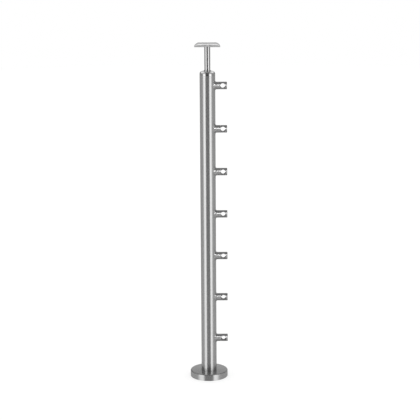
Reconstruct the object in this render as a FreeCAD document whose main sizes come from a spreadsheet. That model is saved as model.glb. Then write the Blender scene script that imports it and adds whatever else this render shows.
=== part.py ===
import FreeCAD, Part
import math
import os

import Sketcher

# Stainless railing post for horizontal bars, 42.4 mm tube.
# Origin: on the axis of the tube, at floor level. +Z is up, +X is the side that carries the bar
# holders, and the bars run along Y. All lengths are in millimetres.

os.makedirs("parts", exist_ok=True)
doc = FreeCAD.newDocument("railing_post")

# ------------------------------------------------------------------ driving dimensions
sheet = doc.addObject("Spreadsheet::Sheet", "Dims")
DIMS = [
    # the post
    ("tube_od", 42.4), ("tube_wall", 2.0), ("tube_top", 854.0), ("seam_edge", 0.35),
    # base plate, welded under the tube
    ("plate_d", 100.0), ("plate_t", 6.0), ("plate_edge", 0.8), ("anchor_pcd", 76.0), ("anchor_hole", 9.0),
    ("anchor_count", 4.0), ("weld_leg", 3.5),
    # loose cover over the base plate
    ("cover_d", 104.0), ("cover_height", 17.8), ("cover_wall", 1.2), ("cover_round", 3.0), ("cover_bore", 43.4),
    ("cover_crown", 0.6),
    # end cap with a turned spigot
    ("cap_rim", 3.4), ("cap_round", 6.9), ("cap_crown", 0.4), ("cap_pad", 21.0), ("spigot_d", 38.2),
    ("spigot_len", 18.0), ("spigot_wall", 3.0), ("cap_floor", 6.0), ("boss_d", 18.0), ("thread_bore", 8.1),
    # stem that carries the handrail saddle
    ("stem_d", 16.0), ("stem_gap", 0.1), ("stem_foot_d", 19.2), ("stem_foot_height", 1.8), ("stem_foot_round", 1.6),
    ("stud_d", 8.0), ("stud_len", 19.0),
    # handrail saddle, bent from sheet
    ("rail_d", 42.4), ("saddle_t", 3.0), ("saddle_len", 70.0), ("saddle_half", 16.5), ("saddle_corner", 13.0),
    ("rail_axis", 953.4),
    ("rail_hole", 5.5), ("rail_sink", 10.4), ("rail_pitch", 44.0),
    # bar holders
    ("holder_count", 7.0), ("holder_low", 111.0), ("holder_pitch", 119.0), ("holder_od", 20.5), ("holder_tip", 52.7),
    ("tip_round", 1.3), ("foot_d", 28.5), ("foot_back", 12.0), ("bar_hole", 14.0),
    ("bar_axis", 41.3), ("nut_pocket", 10.6), ("nut_pocket_end", 22.9), ("screw_clear", 5.4), ("head_seat", 28.3),
    ("head_pocket", 9.0), ("tip_thread", 10.0), ("tip_edge", 0.5), ("bar_edge", 0.35),
    # fastening screw M5 x 16 with a socket head
    ("screw_d", 5.0), ("screw_len", 16.0), ("head_d", 8.5), ("head_height", 5.0), ("head_edge", 0.5),
    ("key_screw", 4.0), ("key_screw_deep", 2.5), ("point_edge", 0.6),
    # rivet nut M5 in the tube wall
    ("nut_hole", 7.1), ("nut_d", 7.0), ("nut_flange_d", 10.0), ("nut_flange_t", 1.0), ("nut_len", 13.0),
    ("nut_bulge_d", 9.4), ("nut_bulge_from", 15.4), ("nut_bulge_to", 18.2), ("nut_bore", 5.04),
    # clamp screw M10 x 1 in the tip of the holder
    ("clamp_d", 9.96), ("clamp_len", 4.0), ("clamp_set", 0.3), ("clamp_edge", 0.5), ("key_clamp", 5.0),
    ("key_clamp_deep", 2.4),
]
for row, (alias, value) in enumerate(DIMS, start=1):
    sheet.set("A%d" % row, alias)
    sheet.set("B%d" % row, str(value))
    sheet.setAlias("B%d" % row, alias)
doc.recompute()


class Size:
    """A number and the sheet formula that gives it."""

    def __init__(self, text, value):
        self.text, self.value = text, float(value)

    @staticmethod
    def of(x):
        return x if isinstance(x, Size) else Size(repr(float(x)), x)

    def _join(self, other, sign, value, swap=False):
        first, second = (Size.of(other), self) if swap else (self, Size.of(other))
        return Size("(%s %s %s)" % (first.text, sign, second.text), value(first.value, second.value))

    def __add__(self, o):
        return self._join(o, "+", lambda a, b: a + b)

    def __radd__(self, o):
        return self._join(o, "+", lambda a, b: a + b, True)

    def __sub__(self, o):
        return self._join(o, "-", lambda a, b: a - b)

    def __rsub__(self, o):
        return self._join(o, "-", lambda a, b: a - b, True)

    def __mul__(self, o):
        return self._join(o, "*", lambda a, b: a * b)

    def __rmul__(self, o):
        return self._join(o, "*", lambda a, b: a * b, True)

    def __truediv__(self, o):
        return self._join(o, "/", lambda a, b: a / b)

    def __neg__(self):
        return Size("(0 - %s)" % self.text, -self.value)

    def root(self):
        return Size("sqrt(%s)" % self.text, math.sqrt(self.value))


def size(alias):
    return Size("Dims.%s" % alias, dict(DIMS)[alias])


V3 = FreeCAD.Vector
PARTS = []


def bind(obj, prop, s):
    s = Size.of(s)
    if "Dims." in s.text:
        obj.setExpression(prop, s.text)


def new_body(name):
    body = doc.addObject("PartDesign::Body", name)
    body.Label = name
    PARTS.append(body)
    return body


def attach(sketch, body, role, offset=None, turn=0):
    plane = [f for f in body.Origin.OriginFeatures if f.Role == role][0]
    sketch.AttachmentSupport = (plane, [""])
    sketch.MapMode = "FlatFace"
    if turn:
        sketch.AttachmentOffset = FreeCAD.Placement(V3(0, 0, 0), FreeCAD.Rotation(V3(0, 0, 1), turn))
    if offset is not None:
        sketch.AttachmentOffset = FreeCAD.Placement(V3(*[Size.of(o).value for o in offset]), FreeCAD.Rotation())
        for axis, o in zip("xyz", offset):
            bind(sketch, "AttachmentOffset.Base." + axis, o)


def hold_point(sketch, geo, pos, x, y, tag):
    """Fixes one point of the sketch by its two coordinates."""
    for kind, s, axis, letter in (("DistanceX", x, -2, "x"), ("DistanceY", y, -1, "y")):
        s = Size.of(s)
        if abs(s.value) < 1e-9:
            sketch.addConstraint(Sketcher.Constraint("PointOnObject", geo, pos, axis))
        else:
            i = sketch.addConstraint(Sketcher.Constraint(kind, -1, 1, geo, pos, s.value))
            if "Dims." in s.text:
                sketch.renameConstraint(i, "%s_%s" % (tag, letter))
                sketch.setExpression("Constraints.%s_%s" % (tag, letter), s.text)


def outline(body, name, role, points, offset=None):
    """A closed sketch. Each point is (x, y) for a straight run to the next point, or
    (x, y, (centre x, centre y), turn, radius) for an arc to it, turn +1 being anticlockwise. A half
    circle has None for its radius."""
    sk = body.newObject("Sketcher::SketchObject", name)
    attach(sk, body, role, offset)
    n = len(points)
    num = [(Size.of(p[0]).value, Size.of(p[1]).value) for p in points]
    ends = []
    for i, p in enumerate(points):
        a, b = num[i], num[(i + 1) % n]
        if len(p) == 2:
            g = sk.addGeometry(Part.LineSegment(V3(a[0], a[1], 0), V3(b[0], b[1], 0)), False)
            ends.append((g, 1, 2))
        else:
            c = (Size.of(p[2][0]).value, Size.of(p[2][1]).value)
            r = math.hypot(a[0] - c[0], a[1] - c[1])
            t0, t1 = math.atan2(a[1] - c[1], a[0] - c[0]), math.atan2(b[1] - c[1], b[0] - c[0])
            if p[3] < 0:
                t0, t1 = t1, t0
            while t1 < t0:
                t1 += 2 * math.pi
            circle = Part.Circle(V3(c[0], c[1], 0), V3(0, 0, 1), r)
            g = sk.addGeometry(Part.ArcOfCircle(circle, t0, t1), False)
            ends.append((g, 1, 2) if p[3] > 0 else (g, 2, 1))
    for i in range(n):
        g, _, e = ends[i]
        g2, s2, _ = ends[(i + 1) % n]
        sk.addConstraint(Sketcher.Constraint("Coincident", g, e, g2, s2))
    for i, p in enumerate(points):
        g, s, _ = ends[i]
        hold_point(sk, g, s, p[0], p[1], "p%d" % i)
        if len(p) > 2 and p[4] is None:
            # a half circle: the x of its centre fixes it
            c = Size.of(p[2][0])
            k = sk.addConstraint(Sketcher.Constraint("DistanceX", -1, 1, g, 3, c.value))
            if "Dims." in c.text:
                sk.renameConstraint(k, "m%d" % i)
                sk.setExpression("Constraints.m%d" % i, c.text)
        elif len(p) > 2:
            r = Size.of(p[4])
            k = sk.addConstraint(Sketcher.Constraint("Radius", g, r.value))
            if "Dims." in r.text:
                sk.renameConstraint(k, "r%d" % i)
                sk.setExpression("Constraints.r%d" % i, r.text)
    return sk


def circles(body, name, role, rings, offset=None, turn=0):
    """A sketch of full circles, each (x, y, diameter)."""
    sk = body.newObject("Sketcher::SketchObject", name)
    attach(sk, body, role, offset, turn)
    for i, (x, y, d) in enumerate(rings):
        x, y, d = Size.of(x), Size.of(y), Size.of(d)
        g = sk.addGeometry(Part.Circle(V3(x.value, y.value, 0), V3(0, 0, 1), d.value / 2), False)
        hold_point(sk, g, 3, x, y, "c%d" % i)
        k = sk.addConstraint(Sketcher.Constraint("Diameter", g, d.value))
        if "Dims." in d.text:
            sk.renameConstraint(k, "d%d" % i)
            sk.setExpression("Constraints.d%d" % i, d.text)
    return sk


def hexagon(body, name, role, flats, offset=None):
    """A hexagon round the sketch's origin, by its width across flats."""
    flats = Size.of(flats)
    half = flats / 2
    reach = flats / 3.0 ** 0.5
    pts = [(reach, 0), (reach / 2, half), (-(reach / 2), half), (-reach, 0), (-(reach / 2), -half), (reach / 2, -half)]
    return outline(body, name, role, pts, offset)


def spin(body, sk, axis, cut=False):
    f = body.newObject("PartDesign::Groove" if cut else "PartDesign::Revolution", sk.Name + ("Cut" if cut else "Turn"))
    f.Profile = sk
    f.ReferenceAxis = (sk, [axis])
    f.Angle = 360
    return f


def push(body, sk, length, cut=False, both=False, back=False):
    f = body.newObject("PartDesign::Pocket" if cut else "PartDesign::Pad", sk.Name + ("Pocket" if cut else "Pad"))
    f.Profile = sk
    f.Length = Size.of(length).value
    bind(f, "Length", length)
    f.Midplane = both
    f.Reversed = back
    return f


def volume(body):
    doc.recompute()
    return body.Shape.Volume


def must_cut(body, before, what):
    after = volume(body)
    if not after < before - 1e-3:
        raise RuntimeError("%s removed nothing from %s" % (what, body.Name))
    return after


def edges_where(shape, test):
    """Names of the edges whose points all pass the test."""
    names = []
    for i, e in enumerate(shape.Edges, start=1):
        a, b = e.ParameterRange
        if all(test(e.valueAt(a + (b - a) * t)) for t in (0.0, 0.13, 0.37, 0.5, 0.61, 0.83, 1.0)):
            names.append("Edge%d" % i)
    return names


def soften(body, kind, base, names, amount):
    """A fillet or chamfer on the named edges."""
    if not names:
        raise RuntimeError("no edges to soften on " + body.Name)
    f = body.newObject("PartDesign::" + kind, body.Name + kind)
    f.Base = (base, names)
    prop = "Radius" if kind == "Fillet" else "Size"
    setattr(f, prop, Size.of(amount).value)
    bind(f, prop, amount)
    return f


tube_r = size("tube_od") / 2

# ------------------------------------------------------------------ post tube
body = new_body("post_tube")
sk = circles(body, "tube_ring", "XY_Plane", [(0, 0, size("tube_od")), (0, 0, size("tube_od") - 2 * size("tube_wall"))],
             (0, 0, size("plate_t")))
push(body, sk, size("tube_top") - size("plate_t"))
doc.recompute()
rim = edges_where(body.Shape, lambda p: abs(p.z - size("tube_top").value) < 1e-6 and math.hypot(p.x, p.y) > 20.5)
soften(body, "Chamfer", body.Tip, rim, size("seam_edge"))
v = volume(body)
sk = circles(body, "nut_drill", "YZ_Plane", [(0, size("holder_low"), size("nut_hole"))])
drill = push(body, sk, size("tube_od"), cut=True, back=True)
v = must_cut(body, v, "the first rivet nut hole")
row = body.newObject("PartDesign::LinearPattern", "nut_row")
row.Originals = [drill]
row.Direction = ([f for f in body.Origin.OriginFeatures if f.Role == "Z_Axis"][0], [""])
row.Length = (size("holder_pitch") * (size("holder_count") - 1)).value
bind(row, "Length", size("holder_pitch") * (size("holder_count") - 1))
row.Occurrences = int(size("holder_count").value)
body.Tip = row
v = must_cut(body, v, "the row of rivet nut holes")

# ------------------------------------------------------------------ base plate with its weld bead
body = new_body("base_plate")
sk = circles(body, "plate_disc", "XY_Plane", [(0, 0, size("plate_d"))])
push(body, sk, size("plate_t"))
doc.recompute()
rim = edges_where(body.Shape, lambda p: abs(p.z - size("plate_t").value) < 1e-6 and math.hypot(p.x, p.y) > 10)
soften(body, "Chamfer", body.Tip, rim, size("plate_edge"))
doc.recompute()
z0 = size("plate_t")
# concave fillet weld between the plate and the tube
leg = size("weld_leg")
bead = outline(body, "weld_bead", "XZ_Plane", [
    (tube_r, z0 - 0.5), (tube_r + leg, z0 - 0.5), (tube_r + leg, z0, (tube_r + leg * 2.2, z0 + leg * 2.2), -1, leg * 2.5059928),
    (tube_r, z0 + leg)])
spin(body, bead, "V_Axis")
v = volume(body)
sk = circles(body, "anchor_drill", "XY_Plane", [(size("anchor_pcd") / 2, 0, size("anchor_hole"))])
drill = push(body, sk, size("plate_t") * 3, cut=True, both=True)
v = must_cut(body, v, "the first anchor hole")
ring = body.newObject("PartDesign::PolarPattern", "anchor_ring")
ring.Originals = [drill]
ring.Axis = ([f for f in body.Origin.OriginFeatures if f.Role == "Z_Axis"][0], [""])
ring.Angle = 360
ring.Occurrences = int(size("anchor_count").value)
body.Tip = ring
v = must_cut(body, v, "the ring of anchor holes")
# the four holes stand between the main directions
body.Placement = FreeCAD.Placement(V3(0, 0, 0), FreeCAD.Rotation(V3(0, 0, 1), 45))

# ------------------------------------------------------------------ base cover, a spun sheet cup with a centre hole
body = new_body("base_cover")
ro, hh, tt, rr = size("cover_d") / 2, size("cover_height"), size("cover_wall"), size("cover_round")
sk = outline(body, "cover_section", "XZ_Plane", [
    (ro, 0), (ro, hh - rr, (ro - rr, hh - rr), 1, rr), (ro - rr, hh), (size("cover_bore") / 2, hh + size("cover_crown")),
    (size("cover_bore") / 2, hh + size("cover_crown") - tt), (ro - rr, hh - tt, (ro - rr, hh - rr), -1, rr - tt), (ro - tt, hh - rr), (ro - tt, 0)])
spin(body, sk, "V_Axis")

# ------------------------------------------------------------------ end cap
body = new_body("end_cap")
zt = size("tube_top")
zr = zt + size("cap_rim")
zs = zr + size("cap_round")
ztop = zs + size("cap_crown")
rs = size("spigot_d") / 2
sk = outline(body, "cap_section", "XZ_Plane", [
    (size("thread_bore") / 2, zt - size("spigot_len") + 3.0), (size("boss_d") / 2, zt - size("spigot_len") + 3.0),
    (size("boss_d") / 2, zt + size("cap_rim") - size("cap_floor")), (rs - size("spigot_wall"), zt + size("cap_rim") - size("cap_floor")),
    (rs - size("spigot_wall"), zt - size("spigot_len")), (rs - 0.8, zt - size("spigot_len")), (rs, zt - size("spigot_len") + 0.8),
    (rs, zt), (tube_r - size("seam_edge"), zt), (tube_r, zt + size("seam_edge")), (tube_r, zr, (tube_r - size("cap_round"), zr), 1, size("cap_round")),
    (tube_r - size("cap_round"), zs), (size("cap_pad") / 2, ztop), (size("thread_bore") / 2, ztop)])
spin(body, sk, "V_Axis")

# ------------------------------------------------------------------ support stem, with its threaded stud
body = new_body("support_stem")
zf = ztop + size("stem_gap")
rst, rf, hf, rc = size("stem_d") / 2, size("stem_foot_d") / 2, size("stem_foot_height"), size("stem_foot_round")
saddle_out = size("rail_d") / 2 + size("saddle_t")
stem_end = size("rail_axis") - saddle_out + 4.0
sk = outline(body, "stem_section", "XZ_Plane", [
    (0, zf - size("stud_len")), (size("stud_d") / 2 - 0.7, zf - size("stud_len")), (size("stud_d") / 2, zf - size("stud_len") + 0.7),
    (size("stud_d") / 2, zf), (rf - 0.3, zf), (rf, zf + 0.3), (rf, zf + hf, (rf, zf + hf + rc), -1, rc), (rst, zf + hf + rc),
    (rst, stem_end), (0, stem_end)])
spin(body, sk, "V_Axis")
v = volume(body)
# the top is hollowed to lie against the round underside of the saddle
sk = circles(body, "stem_cope", "YZ_Plane", [(0, size("rail_axis"), 2 * saddle_out)])
push(body, sk, 60.0, cut=True, both=True)
must_cut(body, v, "the hollowed top of the stem")

# ------------------------------------------------------------------ handrail saddle
body = new_body("handrail_saddle")
ri, rout, za = size("rail_d") / 2, saddle_out, size("rail_axis")
hi = size("saddle_half")
di = (ri * ri - hi * hi).root()
ho, do = hi * rout / ri, di * rout / ri
sk = outline(body, "saddle_section", "YZ_Plane", [
    (-ho, za - do, (0, za), 1, rout), (ho, za - do), (hi, za - di, (0, za), -1, ri), (-hi, za - di)])
push(body, sk, size("saddle_len") + 4.0, both=True)
v = volume(body)
# the two ends are trimmed square in plan, with round corners
lx, cr = size("saddle_len") / 2, size("saddle_corner")
far = size("saddle_len")
for side, name in ((1, "end_trim_a"), (-1, "end_trim_b")):
    cx, ex = (lx - cr) * side, lx * side
    sk = outline(body, name, "XY_Plane", [
        (cx, -ho, (cx, cr - ho), side, cr), (ex, cr - ho), (ex, ho - cr, (cx, ho - cr), side, cr), (cx, ho),
        (cx, far), (far * side, far), (far * side, -far), (cx, -far)], (0, 0, za))
    push(body, sk, 2 * far, cut=True, both=True)
    v = must_cut(body, v, name)
# screw holes for the handrail, countersunk from below
zb = za - rout
sink, hole = size("rail_sink") / 2, size("rail_hole") / 2
for side, name in ((1, "rail_screw_a"), (-1, "rail_screw_b")):
    sk = outline(body, name, "XZ_Plane", [
        (0, zb - 1.0), (sink + 0.9, zb - 1.0), (sink, zb - 0.1), (hole, zb - 0.1 + sink - hole), (hole, zb + 6.0), (0, zb + 6.0)],
        (size("rail_pitch") / 2 * side, 0, 0))
    spin(body, sk, "V_Axis", cut=True)
    v = must_cut(body, v, name)

# ------------------------------------------------------------------ bar holders and their fastenings
tip, ax = size("holder_tip"), size("bar_axis")
rb, rfo = size("holder_od") / 2, size("foot_d") / 2
fl = rfo - rb
# the flare is a quarter circle that runs from the body of the holder to the rim of its foot
flare_end = tube_r + 3.6
for i in range(1, int(size("holder_count").value) + 1):
    level = size("holder_low") + size("holder_pitch") * (size("holder_count") - i)

    body = new_body("bar_holder_%d" % i)
    back, pe, seat = size("foot_back"), size("nut_pocket_end"), size("head_seat")
    tr = size("tip_round")
    sk = outline(body, "holder_section_%d" % i, "XZ_Plane", [
        (back, size("nut_pocket") / 2), (back, rfo), (flare_end - fl, rfo, (flare_end, rfo), 1, fl), (flare_end, rb),
        (tip - tr, rb, (tip - tr, rb - tr), -1, tr), (tip, rb - tr), (tip, size("tip_thread") / 2 + size("tip_edge")),
        (tip - size("tip_edge"), size("tip_thread") / 2), (ax, size("tip_thread") / 2),
        (ax, size("head_pocket") / 2), (seat, size("head_pocket") / 2), (seat, size("screw_clear") / 2),
        (pe, size("screw_clear") / 2), (pe, size("nut_pocket") / 2)])
    spin(body, sk, "H_Axis")
    v = volume(body)
    # the foot is hollowed to sit on the round of the tube
    sk = circles(body, "tube_seat_%d" % i, "XY_Plane", [(0, 0, size("tube_od"))])
    push(body, sk, 60.0, cut=True, both=True)
    v = must_cut(body, v, "the tube seat")
    # the sketch is turned so that the circle starts above the axis, clear of the lengthwise bore
    sk = circles(body, "bar_bore_%d" % i, "XZ_Plane", [(0, -ax, size("bar_hole"))], turn=90)
    push(body, sk, 60.0, cut=True, both=True)
    v = must_cut(body, v, "the bar bore")
    base = body.Tip
    axn, rbn, rhn = ax.value, rb.value, size("bar_hole").value / 2
    mouth = edges_where(body.Shape, lambda p: abs(math.hypot(p.x - axn, p.z) - rhn) < 1e-4 and abs(math.hypot(p.y, p.z) - rbn) < 1e-4)
    soften(body, "Chamfer", base, mouth, size("bar_edge"))
    must_cut(body, v, "the edge of the bar bore")
    body.Placement = FreeCAD.Placement(V3(0, 0, level.value), FreeCAD.Rotation())
    bind(body, "Placement.Base.z", level)

    body = new_body("holder_screw_%d" % i)
    rh, hs, ce = size("head_d") / 2, size("head_height"), size("head_edge")
    rs6, pt = size("screw_d") / 2, size("point_edge")
    end = seat - size("screw_len")
    sk = outline(body, "screw_section_%d" % i, "XZ_Plane", [
        (end, 0), (end, rs6 - pt), (end + pt, rs6), (seat, rs6), (seat, rh), (seat + hs - ce, rh), (seat + hs, rh - ce), (seat + hs, 0)])
    spin(body, sk, "H_Axis")
    v = volume(body)
    sk = hexagon(body, "screw_key_%d" % i, "YZ_Plane", size("key_screw"), (0, 0, seat + hs))
    push(body, sk, size("key_screw_deep"), cut=True)
    must_cut(body, v, "the hexagon socket")
    body.Placement = FreeCAD.Placement(V3(0, 0, level.value), FreeCAD.Rotation())
    bind(body, "Placement.Base.z", level)

    body = new_body("rivet_nut_%d" % i)
    rn, rfl, rbu, rbo = size("nut_d") / 2, size("nut_flange_d") / 2, size("nut_bulge_d") / 2, size("nut_bore") / 2
    face = tube_r + size("nut_flange_t")
    sk = outline(body, "nut_section_%d" % i, "XZ_Plane", [
        (face - size("nut_len"), rbo), (face - size("nut_len"), rn), (size("nut_bulge_from") - 1.0, rn), (size("nut_bulge_from"), rbu),
        (size("nut_bulge_to") - 0.4, rbu), (size("nut_bulge_to"), rn), (tube_r, rn), (tube_r, rfl), (face - 0.3, rfl),
        (face, rfl - 0.3), (face, rbo)])
    spin(body, sk, "H_Axis")
    body.Placement = FreeCAD.Placement(V3(0, 0, level.value), FreeCAD.Rotation())
    bind(body, "Placement.Base.z", level)

    body = new_body("clamp_screw_%d" % i)
    rk, ck = size("clamp_d") / 2, size("clamp_edge")
    x1 = tip - size("clamp_set")
    x0 = x1 - size("clamp_len")
    sk = outline(body, "clamp_section_%d" % i, "XZ_Plane", [
        (x0, 0), (x0, rk - ck), (x0 + ck, rk), (x1 - ck, rk), (x1, rk - ck), (x1, 0)])
    spin(body, sk, "H_Axis")
    v = volume(body)
    sk = hexagon(body, "clamp_key_%d" % i, "YZ_Plane", size("key_clamp"), (0, 0, x1))
    push(body, sk, size("key_clamp_deep"), cut=True)
    must_cut(body, v, "the hexagon socket")
    body.Placement = FreeCAD.Placement(V3(0, 0, level.value), FreeCAD.Rotation())
    bind(body, "Placement.Base.z", level)

# ------------------------------------------------------------------ checks and export
doc.recompute()
for obj in doc.Objects:
    if "Invalid" in obj.State or "Error" in obj.State:
        raise RuntimeError("%s is %s" % (obj.Name, obj.State))
for body in PARTS:
    shape = body.Shape
    if shape.isNull() or not shape.isValid() or len(shape.Solids) != 1:
        raise RuntimeError("%s has a bad shape" % body.Label)
for body in PARTS:
    body.Shape.exportStep("parts/%s.step" % body.Label)
    b = body.Shape.BoundBox
    print("%-16s %10.1f mm3  x %7.2f %7.2f  y %7.2f %7.2f  z %7.2f %7.2f" % (
        body.Label, body.Shape.Volume, b.XMin, b.XMax, b.YMin, b.YMax, b.ZMin, b.ZMax))
print(len(PARTS), "parts")
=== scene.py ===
import math

import bmesh
import bpy
from mathutils import Matrix, Vector


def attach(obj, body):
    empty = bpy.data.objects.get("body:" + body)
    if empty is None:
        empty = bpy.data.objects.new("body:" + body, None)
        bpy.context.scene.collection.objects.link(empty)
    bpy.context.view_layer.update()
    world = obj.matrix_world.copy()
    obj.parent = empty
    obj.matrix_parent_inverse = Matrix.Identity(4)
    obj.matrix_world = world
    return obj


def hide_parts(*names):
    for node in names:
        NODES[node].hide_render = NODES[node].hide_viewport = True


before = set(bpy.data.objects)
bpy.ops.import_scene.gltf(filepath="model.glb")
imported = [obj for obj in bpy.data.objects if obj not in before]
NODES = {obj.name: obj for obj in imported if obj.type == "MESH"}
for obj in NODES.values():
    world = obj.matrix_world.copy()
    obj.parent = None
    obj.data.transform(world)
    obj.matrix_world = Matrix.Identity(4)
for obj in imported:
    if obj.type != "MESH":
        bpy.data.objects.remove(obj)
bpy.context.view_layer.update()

# ---------------------------------------------------------------- node helpers


class Tree:
    """Short calls for building a node tree."""

    def __init__(self, tree):
        self.tree = tree
        tree.nodes.clear()

    def node(self, kind, **props):
        n = self.tree.nodes.new(kind)
        for k, v in props.items():
            setattr(n, k, v)
        return n

    def put(self, socket, value):
        if isinstance(value, bpy.types.NodeSocket):
            self.tree.links.new(value, socket)
        elif value is not None:
            socket.default_value = value

    def math(self, op, a, b=None, c=None, clamp=False):
        n = self.node("ShaderNodeMath", operation=op, use_clamp=clamp)
        for s, v in zip(n.inputs, (a, b, c)):
            self.put(s, v)
        return n.outputs[0]

    def span(self, value, lo, hi, to_lo=0.0, to_hi=1.0, smooth=False):
        n = self.node("ShaderNodeMapRange", interpolation_type="SMOOTHSTEP" if smooth else "LINEAR")
        for name, v in (("Value", value), ("From Min", lo), ("From Max", hi), ("To Min", to_lo), ("To Max", to_hi)):
            self.put(n.inputs[name], v)
        return n.outputs[0]

    def curve(self, value, points):
        """A piecewise smooth function given by (x, y) points, x rising."""
        lo, hi = points[0][0], points[-1][0]
        top = max(y for _, y in points) or 1.0
        n = self.node("ShaderNodeFloatCurve")
        self.put(n.inputs["Value"], self.span(value, lo, hi))
        c = n.mapping.curves[0]
        pts = [((x - lo) / (hi - lo), y / top) for x, y in points]
        while len(c.points) < len(pts):
            c.points.new(0.5, 0.5)
        for p, (x, y) in zip(c.points, pts):
            p.location = (x, y)
            p.handle_type = "VECTOR"
        n.mapping.update()
        return self.math("MULTIPLY", n.outputs[0], top)

    def xyz(self, x, y, z):
        n = self.node("ShaderNodeCombineXYZ")
        for s, v in zip(n.inputs, (x, y, z)):
            self.put(s, v)
        return n.outputs[0]

    def split(self, vector):
        n = self.node("ShaderNodeSeparateXYZ")
        self.put(n.inputs[0], vector)
        return n.outputs

    def scaled(self, vector, factors, shift=(0, 0, 0)):
        n = self.node("ShaderNodeVectorMath", operation="MULTIPLY_ADD")
        for s, v in zip(n.inputs, (vector, factors, shift)):
            self.put(s, v)
        return n.outputs[0]

    def noise(self, vector, scale=1.0, detail=2.0, rough=0.5):
        n = self.node("ShaderNodeTexNoise", noise_dimensions="3D")
        self.put(n.inputs["Vector"], vector)
        for name, v in (("Scale", scale), ("Detail", detail), ("Roughness", rough)):
            self.put(n.inputs[name], v)
        return n.outputs[0]

    def mix(self, fac, a, b):
        n = self.node("ShaderNodeMix", data_type="RGBA", blend_type="MIX")
        for s, v in ((n.inputs[0], fac), (n.inputs[6], a), (n.inputs[7], b)):
            self.put(s, v)
        return n.outputs[2]


def grey(v, warm=0.0):
    return (v * (1 + warm), v, v * (1 - warm), 1.0)


# ---------------------------------------------------------------- steel finishes


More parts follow.
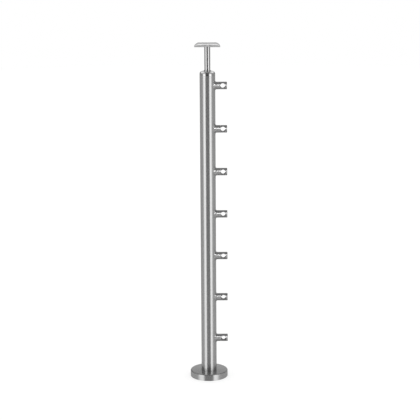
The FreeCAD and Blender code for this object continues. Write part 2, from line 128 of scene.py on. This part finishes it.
def steel(name, tone, rough, aniso, turn, grain, axis=None, warm=0.0, grain_size=0.00018, grain_depth=0.000004,
          streak=0.03, haze=0.0, shaded_bores=False, rim=False,
          low=None, top=None, cloudy=1.0):
    """Ground or turned stainless steel.

    axis is the letter of the radial tangent's axis or None, turn the anisotropic rotation, grain the layout of the
    fine scratches: around_z, around_x, along_x or rings. haze is the share of the light that the ground surface
    scatters every way. bores darkens the colour of the drilled walls of the cross holes, a painted shade for the shade
    inside them, and makes them rougher; rim brightens the colour of the edge of a piece that carries the attribute
    "rim" and makes it scatter more, a painted highlight. low and top give a height and another haze below or above it;
    the lesser haze below the height of low is a painted shade that darkens the foot of the tube. cloudy scales the
    unevenness of the ground surface.
    """
    m = bpy.data.materials.new(name)
    m.use_nodes = True
    t = Tree(m.node_tree)
    where = t.node("ShaderNodeTexCoord").outputs["Object"]
    fine = 1.0 / grain_size
    long = 14.0
    if grain == "around_z":
        v = t.scaled(where, (long, long, fine))
    elif grain == "around_x":
        v = t.scaled(where, (fine, long, long))
    elif grain == "along_x":
        v = t.scaled(where, (long, fine, fine))
    else:
        x, y, z = t.split(where)
        r = t.math("SQRT", t.math("ADD", t.math("MULTIPLY", x, x), t.math("MULTIPLY", y, y)))
        a = t.math("ARCTAN2", y, x)
        v = t.xyz(t.math("MULTIPLY", r, fine), t.math("MULTIPLY", a, 0.6), t.math("MULTIPLY", z, fine))
    scratch = t.noise(v, 1.0, 3.0, 0.65)
    wide = t.noise(t.scaled(v, (0.12, 0.3, 0.12) if grain != "along_x" else (0.3, 0.12, 0.12)), 1.0, 2.0, 0.5)
    cloud = t.noise(where, 22.0, 3.0, 0.55)
    touch = t.noise(where, 75.0, 2.0, 0.6)

    shade = t.math("ADD", t.span(scratch, 0.25, 0.75, 1 - streak, 1 + streak), t.span(wide, 0.3, 0.7, -streak * 0.7, streak * 0.7))
    shade = t.math("MULTIPLY", shade, t.span(cloud, 0.3, 0.7, 1 - 0.015 * cloudy, 1 + 0.015 * cloudy))
    if shaded_bores:
        # distance to the nearest cross hole's axis, the holders being evenly spaced
        x, y, z = t.split(where)
        step = t.math("SUBTRACT", t.math("FRACT", t.math("ADD", t.math("DIVIDE", t.math("SUBTRACT", z, 0.111), 0.119), 0.5)), 0.5)
        dz = t.math("MULTIPLY", step, 0.119)
        dx = t.math("SUBTRACT", x, 0.0413)
        off = t.math("SQRT", t.math("ADD", t.math("MULTIPLY", dx, dx), t.math("MULTIPLY", dz, dz)))
        drilled = t.span(off, 0.00706, 0.0073, 1.0, 0.0)
        # painted shade: the colour of the drilled walls is darkened to 0.52, standing in for the shade inside the cross
        # holes
        shade = t.math("MULTIPLY", shade, t.span(drilled, 0.0, 1.0, 1.0, 0.52))
    scatter = haze
    if rim:
        # painted highlight: along the edge that carries the attribute "rim", the colour is brightened up to 1.32 times
        # and the scatter is raised to 0.85, standing in for the bright line of light on the eased rim
        rim_highlight = t.node("ShaderNodeAttribute", attribute_name="rim").outputs["Fac"]
        shade = t.math("MULTIPLY", shade, t.span(rim_highlight, 0.0, 1.0, 1.0, 1.32))
        scatter = t.span(rim_highlight, 0.0, 1.0, haze, 0.85)
    if low:
        # painted shade: below the height low[0], fading in from low[0] * 0.35, the surface scatters less, so the foot
        # of the tube, where it stands in the cover, comes out darker
        z = t.split(where)[2]
        scatter = t.span(z, low[0] * 0.35, low[0], low[1], haze, smooth=True)
    if top:
        # the wall of the cover is ground, its top is turned
        z = t.split(where)[2]
        scatter = t.span(z, top[0], top[0] + 0.0015, haze, top[1], smooth=True)
    colour = t.node("ShaderNodeVectorMath", operation="SCALE")
    t.put(colour.inputs[0], grey(tone, warm)[:3])
    t.put(colour.inputs["Scale"], shade)

    r = t.span(scratch, 0.25, 0.75, rough * 0.88, rough * 1.12)
    r = t.math("ADD", r, t.span(cloud, 0.3, 0.7, -0.018 * cloudy, 0.018 * cloudy))
    r = t.math("ADD", r, t.span(touch, 0.55, 0.8, 0.0, 0.02), clamp=True)
    if shaded_bores:
        r = t.math("ADD", r, t.math("MULTIPLY", drilled, 0.12), clamp=True)

    bump = t.node("ShaderNodeBump")
    t.put(bump.inputs["Height"], scratch)
    t.put(bump.inputs["Distance"], grain_depth)
    t.put(bump.inputs["Strength"], 1.0)

    b = t.node("ShaderNodeBsdfPrincipled")
    t.put(b.inputs["Base Color"], colour.outputs[0])
    t.put(b.inputs["Metallic"], 1.0 - haze if scatter is haze else t.math("SUBTRACT", 1.0, scatter))
    t.put(b.inputs["Roughness"], r)
    t.put(b.inputs["Anisotropic"], aniso)
    t.put(b.inputs["Anisotropic Rotation"], turn)
    t.put(b.inputs["Normal"], bump.outputs[0])
    if axis:
        tan = t.node("ShaderNodeTangent", direction_type="RADIAL", axis=axis)
        t.put(b.inputs["Tangent"], tan.outputs[0])
    out = t.node("ShaderNodeOutputMaterial")
    t.put(out.inputs["Surface"], b.outputs[0])
    return m


# On a turned or ground round the scratches run round it, so that reflections stay sharp round the axis and are
# drawn out along it.
# below 45 mm the tube scatters less, a painted shade at its foot where it meets the cover
TUBE = steel("tube_ground", 0.68, 0.23, 0.8, 0.25, "around_z", "Z", haze=0.175, low=(0.045, 0.04), streak=0.015, cloudy=0.3)
COVER = steel("cover_spun", 0.62, 0.16, 0.5, 0.25, "rings", "Z", haze=0.2, top=(0.0163, 0.055), cloudy=0.6)
CAP = steel("cap_turned", 0.78, 0.18, 0.2, 0.25, "rings", "Z", haze=0.04, cloudy=0.5)
STEM = steel("stem_turned", 0.74, 0.23, 0.6, 0.25, "around_z", "Z", haze=0.03, streak=0.015, cloudy=0.3)
# the holders' cross holes carry a painted shade on their walls
HOLDER = steel("holder_turned", 0.70, 0.36, 1.0, 0.25, "around_x", "X", streak=0.015, grain_depth=0.0000015, haze=0.07, shaded_bores=True, cloudy=0.6)
# the saddle's eased edge carries a painted highlight (rim)
SADDLE = steel("saddle_ground", 0.74, 0.34, 0.0, 0.0, "along_x", haze=0.48, rim=True)
PLATE = steel("plate_rolled", 0.52, 0.42, 0.0, 0.0, "along_x", grain_depth=0.000008, haze=0.12)
FASTENER = steel("fastener_plain", 0.55, 0.28, 0.0, 0.0, "around_x", haze=0.06)


def dress(obj, material):
    obj.data.materials.clear()
    obj.data.materials.append(material)


for node, obj in NODES.items():
    kind = node.rstrip("0123456789").rstrip("_")
    dress(obj, {"post_tube": TUBE, "base_plate": PLATE, "base_cover": COVER, "end_cap": CAP, "support_stem": STEM,
                "handrail_saddle": SADDLE, "bar_holder": HOLDER, "holder_screw": FASTENER, "rivet_nut": FASTENER,
                "clamp_screw": FASTENER}[kind])

# ---------------------------------------------------------------- pieces made in mesh code


def new_piece(name, bm, material, body, smooth=True, sharp_deg=None):
    me = bpy.data.meshes.new(name)
    bm.normal_update()
    for f in bm.faces:
        f.smooth = smooth
    if sharp_deg is not None:
        for e in bm.edges:
            if len(e.link_faces) == 2 and e.calc_face_angle(0.0) > math.radians(sharp_deg):
                e.smooth = False
    bm.to_mesh(me)
    bm.free()
    o = bpy.data.objects.new(name, me)
    bpy.context.scene.collection.objects.link(o)
    dress(o, material)
    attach(o, body)
    return o


def strip(bm, a, b, closed=True):
    """Quads between two rows of vertices of the same length."""
    n = len(a)
    for i in range(n if closed else n - 1):
        j = (i + 1) % n
        bm.faces.new((a[i], a[j], b[j], b[i]))


# The saddle is a blank of 3 mm sheet with round corners, rolled to the round of the handrail, with eased edges and two holes
# countersunk from below.
RAIL_Z, R_IN, R_OUT = 0.9534, 0.0212, 0.0242
R_MID, HALF_T = (R_IN + R_OUT) / 2, (R_OUT - R_IN) / 2
HALF_OUT, HALF_LEN = 0.0188349, 0.035
CORNER, EASE = 0.013, 0.0005


def rolled(x, s, h):
    """A point of the blank (x along the rail, s across it, h above its middle), rolled round the rail."""
    a, r = s / R_MID, R_MID - h
    return Vector((x, r * math.sin(a), RAIL_Z - r * math.cos(a)))


def inside(x, s, margin):
    """Whether a point of the blank lies within its outline by the margin."""
    y = abs(R_OUT * math.sin(s / R_MID))
    return math.hypot(max(abs(x) - (HALF_LEN - CORNER), 0.0), max(y - (HALF_OUT - CORNER), 0.0)) < CORNER - margin


def saddle():
    bm = bmesh.new()
    rim_highlight_layer = bm.verts.layers.float.new("rim")
    plan = []
    for sx, sy, lead in ((1, -1, 20), (1, 1, 12), (-1, 1, 20), (-1, -1, 12)):
        # a corner, after the straight run that leads to it
        cx, cy = (HALF_LEN - CORNER) * sx, (HALF_OUT - CORNER) * sy
        first = {(1, -1): -90, (1, 1): 0, (-1, 1): 90, (-1, -1): 180}[sx, sy]
        arc = [(cx + CORNER * math.cos(math.radians(first + 6 * k)), cy + CORNER * math.sin(math.radians(first + 6 * k)))
               for k in range(16)]
        plan.append((lead, arc))
    rim = []
    for i, (lead, arc) in enumerate(plan):
        x0, y0 = plan[i - 1][1][-1]
        x1, y1 = arc[0]
        rim.extend((x0 + (x1 - x0) * k / lead, y0 + (y1 - y0) * k / lead) for k in range(1, lead))
        rim.extend(arc)
    rim = [(x, R_MID * math.asin(y / R_OUT)) for x, y in rim]
    n = len(rim)
    # outward direction of the blank's edge at each point
    out = []
    for i in range(n):
        (xa, sa), (xb, sb) = rim[i - 1], rim[(i + 1) % n]
        d = math.hypot(xb - xa, sb - sa)
        out.append(((sb - sa) / d, -(xb - xa) / d))
    rows = []
    steps = 5
    for up in (1, -1):
        for k in range(steps + 1):
            a = math.pi / 2 * k / steps
            if up > 0:
                inset, h = EASE * (1 - math.sin(a)), HALF_T - EASE * (1 - math.cos(a))
            else:
                inset, h = EASE * (1 - math.cos(a)), -HALF_T + EASE * (1 - math.sin(a))
            rows.append([bm.verts.new(rolled(x - ox * inset, s - os * inset, h)) for (x, s), (ox, os) in zip(rim, out)])
    for a, b in zip(rows, rows[1:]):
        strip(bm, a, b)
    # the attribute "rim" marks the eased edge, strongest on the long sides, where the saddle's material paints a
    # highlight
    for row in rows[1:-1]:
        for v, (_, os) in zip(row, out):
            v[rim_highlight_layer] = abs(os) ** 3
    # holes
    seg = 40
    centre = 0.022
    top_loops, low_loops = [], []
    for side in (1, -1):
        prev = None
        # from the inner face down: eased mouth, shank hole, cone, rim of the countersink
        for r, h in ((0.0030, HALF_T), (0.00275, HALF_T - 0.00025), (0.00275, HALF_T - 0.0006), (0.00505, -HALF_T + 0.00015), (0.0053, -HALF_T)):
            row = [bm.verts.new(rolled(centre * side + r * math.cos(2 * math.pi * k / seg), r * math.sin(2 * math.pi * k / seg), h))
                   for k in range(seg)]
            if prev:
                strip(bm, row, prev)
            else:
                top_loops.append((0.0030, side, row))
            prev = row
        low_loops.append((0.0053, side, prev))
    # the two broad faces
    from mathutils.geometry import delaunay_2d_cdt
    for h, edge_row, loops, flip in ((HALF_T, rows[0], top_loops, False), (-HALF_T, rows[-1], low_loops, True)):
        pts, verts, edges = [], [], []

        def loop(points, row):
            first = len(pts)
            pts.extend(Vector(p) for p in points)
            verts.extend(row)
            edges.extend((first + k, first + (k + 1) % len(row)) for k in range(len(row)))

        loop([(x - ox * EASE, s - os * EASE) for (x, s), (ox, os) in zip(rim, out)], edge_row)
        for r, side, row in loops:
            loop([(centre * side + r * math.cos(2 * math.pi * k / seg), r * math.sin(2 * math.pi * k / seg)) for k in range(seg)], row)
        fixed = len(pts)
        step_x, step_s = 0.0021, 0.00125
        for ix in range(-16, 17):
            for js in range(-17, 18):
                x, s = ix * step_x, js * step_s
                if not inside(x, s, 0.0013) or any(math.hypot(x - centre * e, s) < 0.0062 for e in (1, -1)):
                    continue
                pts.append(Vector((x, s)))
                verts.append(bm.verts.new(rolled(x, s, h)))
        got, _, faces, origin, _, _ = delaunay_2d_cdt(pts, edges, [], 0, 1e-7)
        holes = [(centre * side, 0.0, r) for r, side, _ in loops]
        for f in faces:
            ids = [origin[i][0] for i in f]
            cx = sum(got[i].x for i in f) / 3
            cs = sum(got[i].y for i in f) / 3
            if any(math.hypot(cx - hx, cs - hy) < r * 0.995 for hx, hy, r in holes):
                continue
            if not inside(cx, cs, 0.0001):
                continue
            tri = [verts[i] for i in ids]
            if len(set(tri)) == 3:
                bm.faces.new(tri[::-1] if flip else tri)
    bmesh.ops.recalc_face_normals(bm, faces=bm.faces)
    o = new_piece("saddle_sheet", bm, SADDLE, "handrail_support", sharp_deg=40)
    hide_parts("handrail_saddle")
    return o


saddle()

WELD = steel("weld_bead", 0.50, 0.30, 0.0, 0.0, "rings", warm=0.04, grain_size=0.0004, grain_depth=0.00002, haze=0.12, cloudy=2.0)


def weld():
    """The bead between the tube and the base plate, laid round in short ripples."""
    bm = bmesh.new()
    around, across, ripples = 768, 10, 64
    rows = []
    for i in range(across + 1):
        u = i / across
        row = []
        for k in range(around):
            a = 2 * math.pi * k / around
            # each ripple lags at the bead's edges
            wave = math.cos(ripples * a + 3.2 * (2 * u - 1) ** 2 + 0.35 * math.sin(5 * a))
            bulge = math.sin(math.pi * u)
            swell = bulge * (0.00055 + 0.00011 * wave + 0.00008 * math.sin(3 * a + 1.0) + 0.00005 * math.sin(11 * a))
            r = 0.02475 - 0.0036 * u + swell * 0.707
            z = 0.0059 + 0.0036 * u + swell * 0.707
            row.append(bm.verts.new((r * math.cos(a), r * math.sin(a), z)))
        rows.append(row)
    # the back of the bead, within the tube's wall and the plate
    foot = [bm.verts.new((0.0208 * math.cos(2 * math.pi * k / around), 0.0208 * math.sin(2 * math.pi * k / around), 0.0052)) for k in range(around)]
    rows.append(foot)
    for a, b in zip(rows, rows[1:] + rows[:1]):
        strip(bm, a, b)
    bmesh.ops.recalc_face_normals(bm, faces=bm.faces)
    return new_piece("weld_ripples", bm, WELD, "post", sharp_deg=50)


weld()

# ---------------------------------------------------------------- floor

bm = bmesh.new()
bmesh.ops.create_circle(bm, cap_ends=True, cap_tris=False, segments=128, radius=6.0)
floor_mesh = bpy.data.meshes.new("floor")
bm.to_mesh(floor_mesh)
bm.free()
floor = bpy.data.objects.new("floor", floor_mesh)
bpy.context.scene.collection.objects.link(floor)
floor.location = (0, 0, -0.0002)
floor.visible_glossy = False
m = bpy.data.materials.new("floor_paper")
m.use_nodes = True
t = Tree(m.node_tree)
b = t.node("ShaderNodeBsdfPrincipled")
paper = t.noise(t.node("ShaderNodeTexCoord").outputs["Object"], 300.0, 2.0, 0.5)
t.put(b.inputs["Base Color"], t.mix(paper, (0.395, 0.395, 0.395, 1), (0.405, 0.405, 0.405, 1)))
t.put(b.inputs["Roughness"], 1.0)
t.put(b.inputs["Specular IOR Level"], 0.0)
t.put(b.inputs["Emission Color"], (1, 1, 1, 1))
t.put(b.inputs["Emission Strength"], 0.64)
out = t.node("ShaderNodeOutputMaterial")
t.put(out.inputs["Surface"], b.outputs[0])
dress(floor, m)

# ---------------------------------------------------------------- studio: a white room, and what the steel mirrors

world = bpy.data.worlds.new("studio")
bpy.context.scene.world = world
world.use_nodes = True
t = Tree(world.node_tree)
x, y, z = t.split(t.node("ShaderNodeTexCoord").outputs["Generated"])
azimuth = t.math("DEGREES", t.math("ARCTAN2", x, t.math("MULTIPLY", y, -1.0)))
height = t.math("DEGREES", t.math("ARCSINE", z))



def wall(across, upright):
    """One piece of the studio: how it fades across (by azimuth, 0 being the camera's side) and upright (by height)."""
    return t.math("MULTIPLY", t.curve(azimuth, across), t.curve(height, upright))


# two tall soft boxes stand left and right of the camera, with a dark gap between them; the side walls and the back
# are grey and paler above, and the ceiling is dark
parts = [
    wall([(-180, 0), (-78, 0), (-66, 0.5), (-57, 0.92), (-45, 1.0), (-36, 0.92), (-27, 0.15), (-21, 0), (180, 0)],
         [(-90, 0.5), (-60, 0.55), (-38, 0.8), (-24, 1.12), (-18, 1.5), (-10, 2.0), (-4, 1.95), (4, 1.45), (15, 1.25), (35, 0.95), (55, 0.3), (70, 0.1), (90, 0.05)]),
    wall([(-180, 0), (19, 0), (25, 0.15), (31, 0.92), (40, 1.0), (48, 0.97), (56, 0.68), (66, 0.22), (76, 0), (180, 0)],
         [(-90, 0.5), (-60, 0.55), (-38, 0.85), (-24, 1.16), (-18, 1.55), (-10, 2.0), (-4, 1.95), (4, 1.45), (15, 1.25), (35, 0.95), (55, 0.3), (70, 0.1), (90, 0.05)]),
    wall([(-180, 0), (-34, 0), (-22, 1), (22, 1), (34, 0), (180, 0)],
         [(-90, 0.26), (-60, 0.26), (-38, 0.24), (-24, 0.18), (-16, 0.06), (-10, 0.0), (5, 0.0), (20, 0.06), (40, 0.06), (58, 0.0), (90, 0.0)]),
    wall([(-180, 0), (-172, 0.2), (-150, 1), (-78, 1), (-55, 0), (180, 0)],
         [(-90, 0.25), (-60, 0.28), (-38, 0.36), (-24, 0.44), (-18, 0.38), (-12, 0.30), (0, 0.32), (10, 0.22), (17, 0.08), (24, 0.10), (34, 0.22), (50, 0.25), (65, 0.15), (78, 0.0), (90, 0.0)]),
    wall([(-180, 0), (50, 0), (74, 1), (135, 1), (160, 0.3), (180, 0)],
         [(-90, 0.2), (-60, 0.24), (-38, 0.30), (-24, 0.38), (-18, 0.36), (-12, 0.32), (0, 0.36), (10, 0.22), (17, 0.08), (24, 0.10), (34, 0.22), (50, 0.25), (65, 0.15), (78, 0.0), (90, 0.0)]),
    wall([(-180, 1), (-172, 0.8), (-150, 0), (135, 0), (160, 0.7), (180, 1)],
         [(-90, 0.10), (-60, 0.14), (-38, 0.24), (-24, 0.34), (-12, 0.40), (0, 0.52), (8, 0.68), (15, 0.66), (23, 0.38), (35, 0.28), (52, 0.34), (66, 0.2), (78, 0.0), (90, 0.0)]),
]
seen = parts[0]
for part in parts[1:]:
    seen = t.math("ADD", seen, part)
mirrored = t.node("ShaderNodeBackground")
t.put(mirrored.inputs["Strength"], seen)
plain = t.node("ShaderNodeBackground")
t.put(plain.inputs["Color"], (1, 1, 1, 1))
t.put(plain.inputs["Strength"], 1.0)
pick = t.node("ShaderNodeMixShader")
t.put(pick.inputs[0], t.node("ShaderNodeLightPath").outputs["Is Glossy Ray"])
t.put(pick.inputs[1], plain.outputs[0])
t.put(pick.inputs[2], mirrored.outputs[0])
out = t.node("ShaderNodeOutputWorld")
t.put(out.inputs["Surface"], pick.outputs[0])

def card(name, place, aim, width, tall, watts, pieces):
    """A soft card of light that reaches only the pieces given."""
    light = bpy.data.lights.new(name, "AREA")
    light.shape = "RECTANGLE"
    light.size, light.size_y = width, tall
    light.energy = watts
    o = bpy.data.objects.new(name, light)
    bpy.context.scene.collection.objects.link(o)
    o.location = place
    o.rotation_euler = (Vector(aim) - Vector(place)).to_track_quat("-Z", "Y").to_euler()
    o.visible_camera = False
    lit = bpy.data.collections.new(name + "_reach")
    for piece in pieces:
        lit.objects.link(piece)
    o.light_linking.receiver_collection = lit


# cards above the post for the cap and the saddle, and a long low strip in front that draws the bright line along
# the holders
card("over_saddle", (0, 0.45, 1.9), (0, 0.45, 0), 3.0, 1.3, 2.2, [bpy.data.objects["saddle_sheet"]])
card("beside_cap_left", (-1.30, 0.65, 2.20), (0, 0, 0.86), 1.5, 1.5, 6.5, [NODES["end_cap"]])
card("beside_cap_right", (1.30, 0.65, 2.20), (0, 0, 0.86), 1.5, 1.5, 5.0, [NODES["end_cap"]])
card("behind_cap", (0, 2.6, 2.45), (0, 0, 0.86), 2.6, 1.2, 9.0, [NODES["end_cap"]])
card("front_strip", (0, -1.8, 1.53), (0, 0, 0.47), 1.2, 0.3, 11.0, [NODES["bar_holder_%d" % i] for i in range(1, 8)])

bpy.context.scene.view_settings.view_transform = "Standard"
bpy.context.scene.view_settings.look = "None"

# ---------------------------------------------------------------- camera

cam = bpy.data.objects.new("camera", bpy.data.cameras.new("camera"))
bpy.context.scene.collection.objects.link(cam)
cam.data.sensor_width = 36.0
cam.data.lens = 134.4986
cam.data.clip_end = 100.0
tilt, roll = math.radians(13.5816), -0.0058523
forward = Vector((0, math.cos(tilt), -math.sin(tilt)))
up0 = Vector((1, 0, 0)).cross(forward)
right = math.cos(roll) * Vector((1, 0, 0)) + math.sin(roll) * up0
up = -math.sin(roll) * Vector((1, 0, 0)) + math.cos(roll) * up0
pose = Matrix((right, up, -forward)).transposed().to_4x4()
pose.translation = (0.004943, -4.2, 1.49365)
cam.matrix_world = pose
bpy.context.scene.camera = cam
